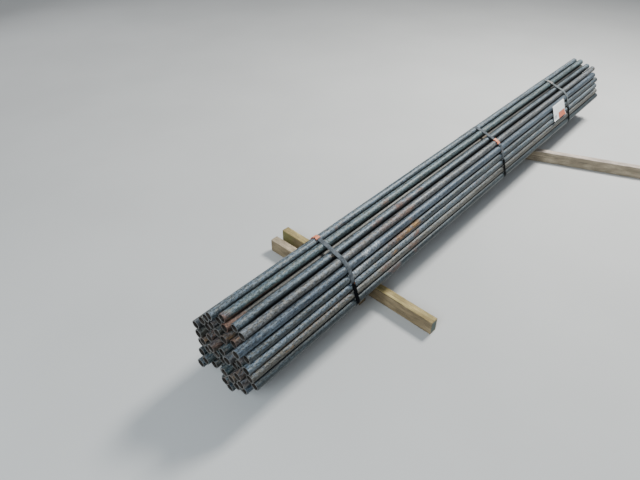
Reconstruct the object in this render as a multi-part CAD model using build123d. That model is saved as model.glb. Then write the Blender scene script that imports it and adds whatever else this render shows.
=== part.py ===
"""Strapped bundle of steel pipes lying on timber bearers, in millimetres.

X runs along the pipes from the near end to the far end, Y to the left as seen from the near
end, and Z up. The bearers stand on Z = 0, and the origin is under the middle of the whole.
"""

from build123d import *

import math
import os
import random

# Pipes, one-inch nominal size
PIPE_OUTSIDE = 33.4
PIPE_WALL = 3.38
PIPE_LENGTH = 3048.0
PIPE_GAP = 0.3

# Where the top course lies, in pitches along it and out of it: the third pipe has sunk
TOP_COURSE = ((-0.02, -0.03), (1.19, -0.05), (1.78, -0.62), (2.43, -0.09), (3.91, 0.11), (4.68, -0.31))

# Bundle section, a hexagon of courses counted from the top, with its sides in pipe pitches
COURSES = 8
TOP_SIDE = len(TOP_COURSE) - 1
LEFT_SHOULDER = 3
RIGHT_SHOULDER = 4
BUNDLE_TILT = -15.2
OUTLYING_COURSE = 6

# How far the pipes stick out at the near end, course by course where that shows
SLIPS = {
    "top_pipe": (12.0, -12.0, -7.0, -22.0, -18.0, 32.0),
    "right_pipe": (6.0, 22.0, 20.0, 14.0, 0.0, 25.0),
    "left_pipe": (10.0, 13.0, 25.0, 29.0, 20.0, 31.0),
    "inner_pipes_course_2": (-13.0, 8.0, 10.0, -2.0, 15.0),
    "inner_pipes_course_3": (3.0, 25.0, 47.0, 31.0, 40.0, 20.0),
}
HIDDEN_SLIP_LOW = 0.0
HIDDEN_SLIP_HIGH = 50.0
SLIP_SEED = 11

# Settling of the pipes against each other, in pitches
SETTLE_SEED = 7
SHAKE = 0.10
FLAT_BELOW_CENTRE = 4.35
PACK_STEPS = 500
PACK_PULL = 0.009
PACK_DROP = 0.003
SEAT_STEPS = 150
SEAT_PULL = 0.003
SEAT_DROP = 0.002
CLEAR_STEPS = 60
PASSES = 6

# Straps
STRAP_WIDTH = 19.0
STRAP_THICKNESS = 0.8
STRAP_GAP = 0.3
STRAP_FROM_NEAR_END = {"near": 493.0, "middle": 1694.0, "far": 2541.0}
STRAP_SEAL_AT = {"near": "top_pipe_1", "middle": "top_pipe_5", "far": "top_pipe_2"}
STRAP_TAIL = 54.0
STRAP_TAIL_SHIFT = 5.5
STRAP_LEAST_BEND = 0.12
STRAP_PATCH_DEPTH = 33.0
STRAP_PATCH_OUT = 8.0

# Strap seals
SEAL_LENGTH = 32.0
SEAL_THICKNESS = 0.9
SEAL_LIP = 5.0
SEAL_GAP = 0.15
SEAL_NOTCH_RADIUS = 3.0
SEAL_NOTCH_PITCH = 13.0

# Label tag
TAG_LENGTH = 160.0
TAG_HEIGHT = 90.0
TAG_THICKNESS = 0.6
TAG_TO_FAR_STRAP = 60.0
TAG_OVER = "right_pipe_1"

# Timber bearers: section, then each one's place under the bundle's middle, reach and skew
BEARER_WIDTH = 38.0
BEARER_HEIGHT = 64.0
BEARER_EDGE = 2.0
BEARER_GAP = 0.3
NEAR_BEARER_FROM_END = 705.0
NEAR_BEARER_LENGTH = 834.0
NEAR_BEARER_TO_RIGHT = 376.0
NEAR_BEARER_SKEW = -2.7
SHORT_BEARER_FROM_END = 633.0
SHORT_BEARER_LENGTH = 520.0
SHORT_BEARER_TO_RIGHT = 74.0
SHORT_BEARER_SKEW = -1.0
FAR_BEARER_FROM_END = 2209.0
FAR_BEARER_LENGTH = 900.0
FAR_BEARER_TO_RIGHT = 736.0
FAR_BEARER_SKEW = 20.6

PITCH = PIPE_OUTSIDE + PIPE_GAP
PIPE_RADIUS = PIPE_OUTSIDE / 2


def course_ends(course: int) -> tuple[float, float]:
    """First and last place along a course, in pitches from the top course's first pipe."""
    left = -0.5 * course if course <= LEFT_SHOULDER else -LEFT_SHOULDER + 0.5 * course
    if course <= RIGHT_SHOULDER:
        right = TOP_SIDE + 0.5 * course
    else:
        right = TOP_SIDE + RIGHT_SHOULDER - 0.5 * course
    return left, right


def pipe_sites() -> dict[str, list[tuple[float, float]]]:
    """Starting places of all pipes in pitches, each under the name of its node."""
    rise = math.sqrt(3) / 2
    sites: dict[str, list[tuple[float, float]]] = {}
    for course in range(COURSES):
        left, right = course_ends(course)
        count = round(right - left) + 1
        row = [(left + i, -course * rise) for i in range(count)]
        if course in (0, COURSES - 1):
            side = "top" if course == 0 else "bottom"
            sites.update({f"{side}_pipe_{i + 1}": [spot] for i, spot in enumerate(row)})
        else:
            sites[f"left_pipe_{course}"] = [row[0]]
            sites[f"right_pipe_{course}"] = [row[-1]]
            sites[f"inner_pipes_course_{course + 1}"] = row[1:-1]
    left, _ = course_ends(OUTLYING_COURSE - 1)
    sites["outlying_pipe"] = [(left - 1, -(OUTLYING_COURSE - 1) * rise)]
    return sites


def tilted(spot: tuple[float, float], middle: tuple[float, float]) -> list[float]:
    """A place turned by the tilt of the bundle about its middle."""
    angle = math.radians(BUNDLE_TILT)
    across, up = spot[0] - middle[0], spot[1] - middle[1]
    return [
        across * math.cos(angle) - up * math.sin(angle),
        across * math.sin(angle) + up * math.cos(angle),
    ]


def part_pair(a: list[float], b: list[float], a_held: bool, b_held: bool) -> None:
    """Push two pipes that overlap apart until they are a pitch from each other."""
    across, up = b[0] - a[0], b[1] - a[1]
    square = across * across + up * up
    if square >= 1 or square == 0 or (a_held and b_held):
        return
    distance = math.sqrt(square)
    push = (1 - distance) / distance
    if not a_held and not b_held:
        push /= 2
    if not a_held:
        a[0] -= across * push
        a[1] -= up * push
    if not b_held:
        b[0] += across * push
        b[1] += up * push


def settle(spots: list[list[float]], held: set[int], steps: int, pull: float, drop: float) -> None:
    """Draw the pipes in and down, step by step, and keep them a pitch apart above the bearers."""
    for step in range(steps):
        ease = 1 - step / steps
        for i, spot in enumerate(spots):
            if i in held:
                continue
            far = math.hypot(*spot) or 1.0
            spot[0] -= pull * ease * spot[0] / far
            spot[1] -= pull * ease * spot[1] / far + drop * ease
        for _ in range(PASSES):
            for i, a in enumerate(spots):
                for j in range(i + 1, len(spots)):
                    if abs(spots[j][0] - a[0]) < 1:
                        part_pair(a, spots[j], i in held, j in held)
                if i not in held:
                    a[1] = max(a[1], -FLAT_BELOW_CENTRE)


def settled_places() -> dict[str, list[tuple[float, float]]]:
    """Y and Z of every pipe's axis, under its node's name, with the bundle on its bearers."""
    sites = pipe_sites()
    flat = [(name, spot) for name, spots in sites.items() for spot in spots]
    middle = tuple(sum(spot[k] for _, spot in flat) / len(flat) for k in (0, 1))
    shake = random.Random(SETTLE_SEED)
    spots = []
    held = set()
    for i, (name, spot) in enumerate(flat):
        place = tilted(spot, middle)
        place = [value + shake.uniform(-SHAKE, SHAKE) for value in place]
        if name.startswith("top_pipe"):
            place = tilted(TOP_COURSE[int(name.rsplit("_", 1)[1]) - 1], middle)
            held.add(i)
        spots.append(place)
    settle(spots, held, PACK_STEPS, PACK_PULL, PACK_DROP)
    settle(spots, set(), SEAT_STEPS, SEAT_PULL, SEAT_DROP)
    settle(spots, set(), CLEAR_STEPS, 0.0, 0.0)
    lowest = min(spot[1] for spot in spots)
    base = BEARER_HEIGHT + BEARER_GAP + PIPE_RADIUS
    places: dict[str, list[tuple[float, float]]] = {name: [] for name in sites}
    for (name, _), (across, up) in zip(flat, spots):
        places[name].append((-across * PITCH, base + (up - lowest) * PITCH))
    return places


def pipe_slips(places: dict) -> dict[str, list[float]]:
    """How far each pipe sticks out at the near end."""
    chance = random.Random(SLIP_SEED)
    slips = {}
    for name, spots in places.items():
        slips[name] = [chance.uniform(HIDDEN_SLIP_LOW, HIDDEN_SLIP_HIGH) for _ in spots]
    for name, row in SLIPS.items():
        if name in slips:
            slips[name] = list(row)
        else:
            slips.update({f"{name}_{i + 1}": [slip] for i, slip in enumerate(row)})
    return slips


def make_pipes(places: dict) -> dict[str, list[Solid]]:
    """Every pipe as a solid tube, in its node."""
    ring = Circle(PIPE_RADIUS) - Circle(PIPE_RADIUS - PIPE_WALL)
    tube = extrude(Plane.YZ * ring, PIPE_LENGTH / 2, both=True)
    slips = pipe_slips(places)
    nodes = {}
    for name, spots in places.items():
        nodes[name] = [
            (Pos(-slip, y, z) * tube).solid() for (y, z), slip in zip(spots, slips[name])
        ]
    return nodes


def hull(points: list[tuple[float, float]]) -> list[tuple[float, float]]:
    """Convex hull of points, anticlockwise."""
    ordered = sorted(points)

    def half(run: list[tuple[float, float]]) -> list[tuple[float, float]]:
        chain: list[tuple[float, float]] = []
        for y, z in run:
            while len(chain) > 1:
                (ay, az), (by, bz) = chain[-2], chain[-1]
                if (by - ay) * (z - az) - (bz - az) * (y - ay) > 0:
                    break
                chain.pop()
            chain.append((y, z))
        return chain[:-1]

    return half(ordered) + half(ordered[::-1])


def strap_corners(places: dict) -> list[tuple[float, float]]:
    """Pipe axes that a strap bends round, without those where it would hardly bend."""
    loop = hull([spot for spots in places.values() for spot in spots])
    while True:
        bends = []
        for i, corner in enumerate(loop):
            (ay, az), (by, bz) = loop[i - 1], loop[(i + 1) % len(loop)]
            area = (by - ay) * (corner[1] - az) - (bz - az) * (corner[0] - ay)
            bends.append(abs(area) / math.dist((ay, az), (by, bz)))
        if min(bends) > STRAP_LEAST_BEND:
            return loop
        loop.pop(bends.index(min(bends)))


def outward(loop: list[tuple[float, float]], corner: tuple[float, float]) -> float:
    """Angle midway between the normals of the two sides at a corner, in degrees from +Y."""
    i = loop.index(corner)
    (ay, az), (by, bz) = loop[i - 1], loop[(i + 1) % len(loop)]
    before = math.atan2(corner[1] - az, corner[0] - ay)
    after = math.atan2(bz - corner[1], by - corner[0])
    turn = (after - before) % math.tau
    return math.degrees(before + turn / 2) - 90.0


def nearest_corner(loop: list[tuple[float, float]], spot: tuple[float, float]):
    """The hull corner nearest a pipe's axis, which is that pipe's own when it is on the hull."""
    return min(loop, key=lambda corner: math.dist(corner, spot))


def band(loop: list[tuple[float, float]], inner: float, outer: float) -> Sketch:
    """Closed strip round the bundle, between two distances from the outermost pipe axes."""
    core = make_face(Polyline(*loop, close=True))
    return offset(core, outer) - offset(core, inner)


def window(corner: tuple[float, float], angle: float, length: float, shift: float = 0.0) -> Sketch:
    """Patch of the section that holds a length of strap over one pipe."""
    patch = Rectangle(STRAP_PATCH_DEPTH, length)
    return Pos(*corner) * Rot(0, 0, angle) * Pos(PIPE_RADIUS + STRAP_PATCH_OUT, shift) * patch


def across_x(face: Sketch, x: float, width: float) -> Part:
    """Extrude a section face to a width along X, centred on x."""
    return extrude(Plane.YZ.offset(x) * face, width / 2, both=True)


def make_strap(places: dict, name: str) -> tuple[Solid, Solid]:
    """One strap with its overlapping end, and the seal that is crimped over both layers."""
    x = STRAP_FROM_NEAR_END[name] - PIPE_LENGTH / 2
    loop = strap_corners(places)
    corner = nearest_corner(loop, places[STRAP_SEAL_AT[name]][0])
    angle = outward(loop, corner)
    lift = SEAL_THICKNESS + SEAL_GAP
    raised = (
        corner[0] + lift * math.cos(math.radians(angle)),
        corner[1] + lift * math.sin(math.radians(angle)),
    )
    loop = [raised if spot == corner else spot for spot in loop]

    inside = PIPE_RADIUS + STRAP_GAP
    outside = inside + STRAP_THICKNESS
    top = outside + STRAP_THICKNESS
    tail = band(loop, outside, top) & window(raised, angle, STRAP_TAIL, STRAP_TAIL_SHIFT)
    strap = across_x(band(loop, inside, outside), x, STRAP_WIDTH) + across_x(tail, x, STRAP_WIDTH)

    patch = window(raised, angle, SEAL_LENGTH)
    low = inside - SEAL_GAP
    high = top + SEAL_GAP
    room = STRAP_WIDTH + 2 * SEAL_GAP
    shell = band(loop, low - SEAL_THICKNESS, high + SEAL_THICKNESS) & patch
    seal = across_x(shell, x, room + 2 * SEAL_THICKNESS)
    seal -= across_x(band(loop, low, high), x, room)
    seal -= across_x(band(loop, low - 2 * SEAL_THICKNESS, high), x, STRAP_WIDTH - 2 * SEAL_LIP)
    outer_face = Plane.YZ * Pos(*raised) * Rot(0, 0, angle) * Pos(high, 0)
    for side in (-1, 1):
        for end in (-1, 1):
            notch = Cylinder(SEAL_NOTCH_RADIUS, PIPE_RADIUS, rotation=(0, 90, 0))
            edge = side * (room / 2 + SEAL_THICKNESS)
            seal -= outer_face * Pos(0, end * SEAL_NOTCH_PITCH / 2, x + edge) * notch
    return strap.solid(), seal.solid()


def make_tag(places: dict) -> Solid:
    """Plain label laid over three pipes on the right shoulder, before the far strap."""
    loop = strap_corners(places)
    corner = nearest_corner(loop, places[TAG_OVER][0])
    inside = PIPE_RADIUS + STRAP_GAP
    strip = band(loop, inside, inside + TAG_THICKNESS) & window(corner, outward(loop, corner), TAG_HEIGHT)
    far_edge = STRAP_FROM_NEAR_END["far"] - PIPE_LENGTH / 2 - TAG_TO_FAR_STRAP
    return across_x(strip, far_edge - TAG_LENGTH / 2, TAG_LENGTH).solid()


def make_bearer(from_end: float, length: float, to_right: float, skew: float) -> Solid:
    """One sawn timber on edge under the bundle, turned by its skew about the bundle's middle."""
    timber = Box(BEARER_WIDTH, length, BEARER_HEIGHT)
    timber = chamfer(timber.edges().filter_by(Axis.Y), BEARER_EDGE)
    turned = Rot(0, 0, skew) * Pos(0, length / 2 - to_right, BEARER_HEIGHT / 2) * timber
    return (Pos(from_end - PIPE_LENGTH / 2, 0, 0) * turned).solid()


def make_bearers() -> dict[str, list[Solid]]:
    """The timbers that carry the bundle."""
    near = (NEAR_BEARER_FROM_END, NEAR_BEARER_LENGTH, NEAR_BEARER_TO_RIGHT, NEAR_BEARER_SKEW)
    short = (SHORT_BEARER_FROM_END, SHORT_BEARER_LENGTH, SHORT_BEARER_TO_RIGHT, SHORT_BEARER_SKEW)
    far = (FAR_BEARER_FROM_END, FAR_BEARER_LENGTH, FAR_BEARER_TO_RIGHT, FAR_BEARER_SKEW)
    return {
        "bearer_near": [make_bearer(*near)],
        "bearer_near_short": [make_bearer(*short)],
        "bearer_far": [make_bearer(*far)],
    }


def make_bundle() -> dict[str, list[Solid]]:
    """All nodes of the bundle, with the origin moved under the middle of the whole."""
    places = settled_places()
    nodes = make_pipes(places)
    for name in STRAP_FROM_NEAR_END:
        strap, seal = make_strap(places, name)
        nodes[f"strap_{name}"] = [strap]
        nodes[f"seal_{name}"] = [seal]
    nodes["label_tag"] = [make_tag(places)]
    nodes.update(make_bearers())
    box = Compound([solid for solids in nodes.values() for solid in solids]).bounding_box()
    home = Pos(-box.center().X, -box.center().Y, 0)
    return {name: [home * solid for solid in solids] for name, solids in nodes.items()}


os.makedirs("parts", exist_ok=True)
for node, solids in make_bundle().items():
    shape = solids[0] if len(solids) == 1 else Compound(solids)
    export_step(shape, f"parts/{node}.step")
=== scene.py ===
"""Dress the strapped bundle of steel pipes, light it and set the camera. All sizes are metres."""

import logging
import math
import random
from dataclasses import dataclass, field
from enum import Enum

import bpy
import numpy as np
from mathutils import Euler, Matrix, Vector, noise

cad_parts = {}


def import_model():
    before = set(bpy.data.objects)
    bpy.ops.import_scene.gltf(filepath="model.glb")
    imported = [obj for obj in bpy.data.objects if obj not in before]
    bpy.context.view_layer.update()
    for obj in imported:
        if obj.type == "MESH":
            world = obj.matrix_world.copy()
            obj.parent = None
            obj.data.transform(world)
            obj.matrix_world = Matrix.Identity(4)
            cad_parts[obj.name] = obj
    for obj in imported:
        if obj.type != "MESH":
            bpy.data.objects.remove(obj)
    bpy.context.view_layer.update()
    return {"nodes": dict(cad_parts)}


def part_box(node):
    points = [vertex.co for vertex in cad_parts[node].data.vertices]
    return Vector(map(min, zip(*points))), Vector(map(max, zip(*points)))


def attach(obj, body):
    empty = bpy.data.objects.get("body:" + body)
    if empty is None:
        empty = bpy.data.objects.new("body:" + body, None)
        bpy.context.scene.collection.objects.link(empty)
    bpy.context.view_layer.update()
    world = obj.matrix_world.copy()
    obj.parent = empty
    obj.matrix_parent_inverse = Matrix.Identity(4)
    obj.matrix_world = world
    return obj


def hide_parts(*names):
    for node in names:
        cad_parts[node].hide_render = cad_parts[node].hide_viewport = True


BODY = "root"
LOG = logging.getLogger("bundle")

Pair = tuple[float, float]
Triple = tuple[float, float, float]
Colour = Triple
Corner = tuple[float, float, str]
Nodes = dict[str, bpy.types.Object]
Socket = bpy.types.NodeSocket
Value = Socket | float | Colour

PIPE_RADIUS = 0.0167
PIPE_REACH = 0.01685
RIM_FROM = 0.015
SAME_PLACE = 1e-6
STRAP_GAP = 0.0003
STRAP_COLUMNS = 7


class Tint(Enum):
    """Mill scale colours that the pipes came off the mill with."""

    BLUE = (0.042, 0.060, 0.080)
    SLATE = (0.054, 0.072, 0.084)
    GREY = (0.069, 0.070, 0.070)
    GREEN = (0.050, 0.072, 0.074)
    BROWN = (0.076, 0.073, 0.062)
    DARK = (0.030, 0.040, 0.045)


class Timber(Enum):
    """Kinds of sawn timber under the bundle."""

    YELLOW = "yellow"
    PALE = "pale"
    SILVER = "silver"


@dataclass(frozen=True)
class Cells:
    """Noise to sample: cells to a metre along each axis, octaves, and what each finer one adds."""

    stretch: Triple
    detail: float = 3.0
    rough: float = 0.55


class Graph:
    """Short forms for the nodes of one material."""

    def __init__(self, name: str) -> None:
        """Start a material with its shader.

        Args:
            name: Name of the material.
        """
        self.material = bpy.data.materials.new(name)
        self.material.use_nodes = True
        self.tree = self.material.node_tree
        self.shader = self.tree.nodes["Principled BSDF"]

    def node(self, kind: str, **settings: object) -> bpy.types.Node:
        """Add a node and set its properties.

        Args:
            kind: Type of the node.
            settings: Properties of the node and their values.

        Returns:
            The new node.
        """
        made = self.tree.nodes.new(kind)
        for key, value in settings.items():
            setattr(made, key, value)
        return made

    def put(self, socket: Socket, value: Value) -> None:
        """Feed a socket from another socket or with a plain value.

        Args:
            socket: The input to feed.
            value: A socket, a number or a colour.
        """
        if isinstance(value, Socket):
            self.tree.links.new(value, socket)
        elif isinstance(value, tuple) and len(value) == 3 and socket.type == "RGBA":
            socket.default_value = (*value, 1.0)
        else:
            socket.default_value = value

    def attribute(self, name: str, output: str = "Fac") -> Socket:
        """Read a named attribute of the mesh."""
        return self.node("ShaderNodeAttribute", attribute_name=name).outputs[output]

    def own_place(self) -> Socket:
        """The coordinate of the object itself."""
        return self.node("ShaderNodeTexCoord").outputs["Object"]

    def z_of(self, vector: Socket) -> Socket:
        """Take the Z part of a vector.

        Args:
            vector: The vector.

        Returns:
            Its Z part.
        """
        split = self.node("ShaderNodeSeparateXYZ")
        self.put(split.inputs[0], vector)
        return split.outputs["Z"]

    def up(self) -> Socket:
        """How far the surface faces upwards, from -1 to 1."""
        return self.z_of(self.node("ShaderNodeNewGeometry").outputs["Normal"])

    def math(self, operation: str, a: Value, b: Value = 0.0, clamp: bool = False) -> Socket:
        """Work out one step of arithmetic.

        Args:
            operation: Name of the operation.
            a: First socket or number.
            b: Second socket or number.
            clamp: Whether the result is kept between 0 and 1.

        Returns:
            The result.
        """
        made = self.node("ShaderNodeMath", operation=operation, use_clamp=clamp)
        self.put(made.inputs[0], a)
        self.put(made.inputs[1], b)
        return made.outputs[0]

    def times(self, a: Value, b: Value, clamp: bool = False) -> Socket:
        """Multiply two values."""
        return self.math("MULTIPLY", a, b, clamp)

    def plus(self, a: Value, b: Value, clamp: bool = False) -> Socket:
        """Add two values."""
        return self.math("ADD", a, b, clamp)

    def swing(self, sample: Socket, share: float = 1.0) -> Socket:
        """Let noise swing about zero by a share of its own range."""
        return self.times(self.math("SUBTRACT", sample, 0.5), share)

    def step(
        self, value: Value, low: float, high: float, to_low: float = 0.0, to_high: float = 1.0
    ) -> Socket:
        """Turn a value smoothly from one level to another between two limits.

        Args:
            value: The socket to read.
            low: Value where the turn starts.
            high: Value where it ends.
            to_low: Level before the turn.
            to_high: Level after it.

        Returns:
            The level as a socket.
        """
        made = self.node("ShaderNodeMapRange", interpolation_type="SMOOTHSTEP")
        self.put(made.inputs["Value"], value)
        for name, number in (
            ("From Min", low), ("From Max", high), ("To Min", to_low), ("To Max", to_high),
        ):
            made.inputs[name].default_value = number
        return made.outputs["Result"]

    def noise(self, vector: Socket, cells: Cells) -> Socket:
        """Sample noise whose cells are stretched differently along each axis.

        Args:
            vector: The coordinate to read.
            cells: Size and detail of the noise.

        Returns:
            The noise, from 0 to 1 and mostly near a half.
        """
        scaled = self.node("ShaderNodeVectorMath", operation="MULTIPLY")
        self.put(scaled.inputs[0], vector)
        scaled.inputs[1].default_value = cells.stretch
        made = self.node("ShaderNodeTexNoise")
        self.put(made.inputs["Vector"], scaled.outputs[0])
        made.inputs["Scale"].default_value = 1.0
        made.inputs["Detail"].default_value = cells.detail
        made.inputs["Roughness"].default_value = cells.rough
        return made.outputs[0]

    def mix(self, amount: Value, a: Value, b: Value) -> Socket:
        """Mix two colours.

        Args:
            amount: Share of the second colour.
            a: First colour.
            b: Second colour.

        Returns:
            The mixed colour.
        """
        made = self.node("ShaderNodeMix", data_type="RGBA")
        self.put(made.inputs[0], amount)
        self.put(made.inputs[6], a)
        self.put(made.inputs[7], b)
        return made.outputs[2]

    def gain(self, colour: Value, level: Value) -> Socket:
        """Brighten or darken a colour by a level.

        Args:
            colour: The colour.
            level: Factor, where 1 leaves it as it is.

        Returns:
            The changed colour.
        """
        made = self.node("ShaderNodeVectorMath", operation="SCALE")
        self.put(made.inputs[0], colour)
        self.put(made.inputs["Scale"], level)
        return made.outputs[0]

    def bump(self, height: Socket, depth: float, strength: float) -> None:
        """Give the shader's surface a fine relief.

        Args:
            height: The relief, from 0 to 1.
            depth: Height of a relief of 1, in metres.
            strength: Share of the relief that acts.
        """
        made = self.node("ShaderNodeBump")
        made.inputs["Strength"].default_value = strength
        made.inputs["Distance"].default_value = depth
        self.put(made.inputs["Height"], height)
        self.put(self.shader.inputs["Normal"], made.outputs[0])

    def finish(
        self, colour: Value, rough: Value, metallic: float = 0.0, specular: float = 0.5
    ) -> bpy.types.Material:
        """Connect the colour and the roughness, and hand the material out.

        Args:
            colour: Base colour of the surface.
            rough: Its roughness.
            metallic: How metallic it is, the same all over.
            specular: Strength of its gloss, the same all over.

        Returns:
            The finished material.
        """
        self.put(self.shader.inputs["Base Color"], colour)
        self.put(self.shader.inputs["Roughness"], rough)
        self.shader.inputs["Metallic"].default_value = metallic
        self.shader.inputs["Specular IOR Level"].default_value = specular
        return self.material


SCALE_NOISES = {
    "streak": Cells((7.0, 150.0, 150.0), 4.0, 0.6),
    "cloud": Cells((3.5, 18.0, 18.0), 3.0, 0.6),
    "grain": Cells((420.0, 620.0, 620.0), 2.0, 0.7),
    "blotch": Cells((28.0, 60.0, 60.0), 5.0, 0.65),
    "mottle": Cells((85.0, 190.0, 190.0), 4.0, 0.85),
    "fleck": Cells((45.0, 120.0, 120.0), 4.0, 0.8),
    "scuff": Cells((420.0, 90.0, 90.0), 2.0, 0.6),
    "stain": Cells((55.0, 130.0, 130.0), 5.0, 0.75),
}


@dataclass(frozen=True)
class MillScale:
    """Dark scale on rolled steel, dusty with painted top light on top, with painted shade where the pipes
    touch, and rust where water has stood.
    """

    # Pale dust, which also stands in as painted top light on the pipes.
    dust_and_top_light: Colour = (0.372, 0.405, 0.418)
    blue_oxide: Colour = (0.25, 0.40, 0.64)
    earth: Colour = (0.55, 0.43, 0.28)
    # Near black: the painted shade in the crevices between touching pipes.
    crevice_shade: Colour = (0.013, 0.014, 0.015)
    red_rust: Colour = (0.160, 0.084, 0.060)
    ochre_rust: Colour = (0.285, 0.158, 0.054)
    bore: Colour = (0.060, 0.050, 0.042)
    cut_steel: Colour = (0.200, 0.190, 0.180)
    scratch: Colour = (0.62, 0.64, 0.66)
    metallic: float = 0.35
    relief: float = 0.0006

    def material(self) -> bpy.types.Material:
        """Build the material from the attributes that the pipes carry.

        Returns:
            The material.
        """
        graph = Graph("mill_scale")
        place = graph.attribute("surface", "Vector")
        noises = {name: graph.noise(place, cells) for name, cells in SCALE_NOISES.items()}
        scale, crevice = graph.attribute("scale_colour", "Color"), graph.attribute("crevice")

        # Dust on the tops, which is also painted top light and highlight.
        dust_and_top_light = self.dust_and_top_light_share(graph, noises)
        colour = graph.mix(dust_and_top_light, self.bare(graph, noises, scale), self.dusty_and_lit(graph, noises, scale))
        scuff = graph.times(graph.step(noises["scuff"], 0.47, 0.60), graph.attribute("scuff"), clamp=True)
        colour = graph.mix(scuff, colour, self.scratch)
        rusted = self.rust_share(graph, noises, crevice)
        broken = graph.times(rusted, graph.step(noises["mottle"], 0.38, 0.56, 0.50, 0.85))
        colour = graph.mix(broken, colour, self.rust(graph, noises))
        # Painted shade: darken the scale towards near black where the pipes beside close it in.
        colour = graph.mix(graph.step(crevice, 0.10, 0.85, 0.0, 0.93), colour, self.crevice_shade)
        colour = self.mouth(graph, noises, colour, rusted)

        rough = graph.step(noises["streak"], 0.25, 0.75, 0.37, 0.57)
        rough = graph.plus(rough, graph.times(graph.math("MAXIMUM", rusted, dust_and_top_light), 0.24))
        relief = graph.plus(graph.times(noises["grain"], 0.6), graph.times(rusted, 0.5))
        graph.bump(graph.plus(relief, noises["streak"]), self.relief, 0.55)
        return graph.finish(colour, rough, self.metallic)

    def bare(self, graph: Graph, noises: dict[str, Socket], scale: Socket) -> Socket:
        """Vary the clean scale from streaks down to grains.

        Args:
            graph: The material's nodes.
            noises: Its noises by name.
            scale: Colour of the pipe's scale.

        Returns:
            The colour of the clean scale.
        """
        colour = graph.gain(scale, graph.step(noises["streak"], 0.30, 0.70, 0.66, 1.36))
        colour = graph.gain(colour, graph.step(noises["cloud"], 0.30, 0.70, 0.74, 1.30))
        colour = graph.gain(colour, graph.step(noises["mottle"], 0.38, 0.62, 0.45, 1.62))
        return graph.gain(colour, graph.step(noises["grain"], 0.25, 0.75, 0.60, 1.44))

    def dust_and_top_light_share(self, graph: Graph, noises: dict[str, Socket]) -> Socket:
        """Lay broken dust on what faces up, which also stands in as painted top light.

        Args:
            graph: The material's nodes.
            noises: Its noises by name.

        Returns:
            The share of the surface that dust and painted top light cover.
        """
        dust_and_top_light = graph.times(graph.step(graph.up(), 0.22, 0.96), graph.attribute("dust_and_top_light"))
        dust_and_top_light = graph.times(dust_and_top_light, graph.step(noises["streak"], 0.28, 0.66, 0.35, 1.0))
        dust_and_top_light = graph.times(dust_and_top_light, graph.step(noises["mottle"], 0.40, 0.60, 0.15, 1.25))
        return graph.times(dust_and_top_light, graph.step(noises["grain"], 0.30, 0.62, 0.50, 1.0), clamp=True)

    def dusty_and_lit(self, graph: Graph, noises: dict[str, Socket], scale: Socket) -> Socket:
        """Tint the dust and painted top light by the scale under it, with blue and earthy flecks.

        Args:
            graph: The material's nodes.
            noises: Its noises by name.
            scale: Colour of the pipe's scale.

        Returns:
            The colour of the dust and painted top light.
        """
        colour = graph.mix(0.38, self.dust_and_top_light, graph.gain(scale, 5.0))
        colour = graph.mix(graph.step(noises["fleck"], 0.49, 0.58, 0.0, 0.48), colour, self.blue_oxide)
        return graph.mix(graph.step(noises["fleck"], 0.49, 0.40, 0.0, 0.50), colour, self.earth)

    def rust_share(self, graph: Graph, noises: dict[str, Socket], crevice: Socket) -> Socket:
        """Break the pipe's rusty places up, with a little more rust beside crevices.

        Args:
            graph: The material's nodes.
            noises: Its noises by name.
            crevice: How closed in the surface is.

        Returns:
            The share of the surface that rust covers.
        """
        edge = graph.times(crevice, graph.step(noises["cloud"], 0.42, 0.62))
        rust = graph.plus(graph.attribute("rust"), graph.times(edge, 0.30))
        rust = graph.plus(rust, graph.swing(noises["blotch"], 1.3))
        rust = graph.plus(rust, graph.swing(noises["stain"], 1.3))
        rust = graph.plus(rust, graph.swing(noises["streak"], 0.45))
        return graph.step(rust, 0.25, 1.05)

    def rust(self, graph: Graph, noises: dict[str, Socket]) -> Socket:
        """Colour the rust from red to ochre, lighter where it faces up.

        Args:
            graph: The material's nodes.
            noises: Its noises by name.

        Returns:
            The colour of the rust.
        """
        tone = graph.plus(graph.attribute("ochre"), graph.swing(noises["blotch"]), clamp=True)
        colour = graph.mix(graph.step(tone, 0.25, 0.75), self.red_rust, self.ochre_rust)
        colour = graph.gain(colour, graph.step(noises["mottle"], 0.35, 0.65, 0.55, 1.50))
        return graph.gain(colour, graph.step(graph.up(), -0.1, 0.9, 0.55, 1.40))

    def mouth(self, graph: Graph, noises: dict[str, Socket], colour: Socket, rusted: Socket) -> Socket:
        """Give the bore and the cut face of a pipe their own colours.

        Args:
            graph: The material's nodes.
            noises: Its noises by name.
            colour: Colour of the outside.
            rusted: Share of the surface that rust covers.

        Returns:
            The colour of the whole pipe.
        """
        bore = graph.gain(self.bore, graph.step(noises["blotch"], 0.30, 0.70, 0.5, 1.7))
        colour = graph.mix(graph.attribute("bore"), colour, bore)
        cut = graph.times(graph.attribute("cut"), graph.step(noises["blotch"], 0.30, 0.60, 0.4, 0.95))
        return graph.mix(cut, colour, graph.mix(rusted, self.cut_steel, self.red_rust))


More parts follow.
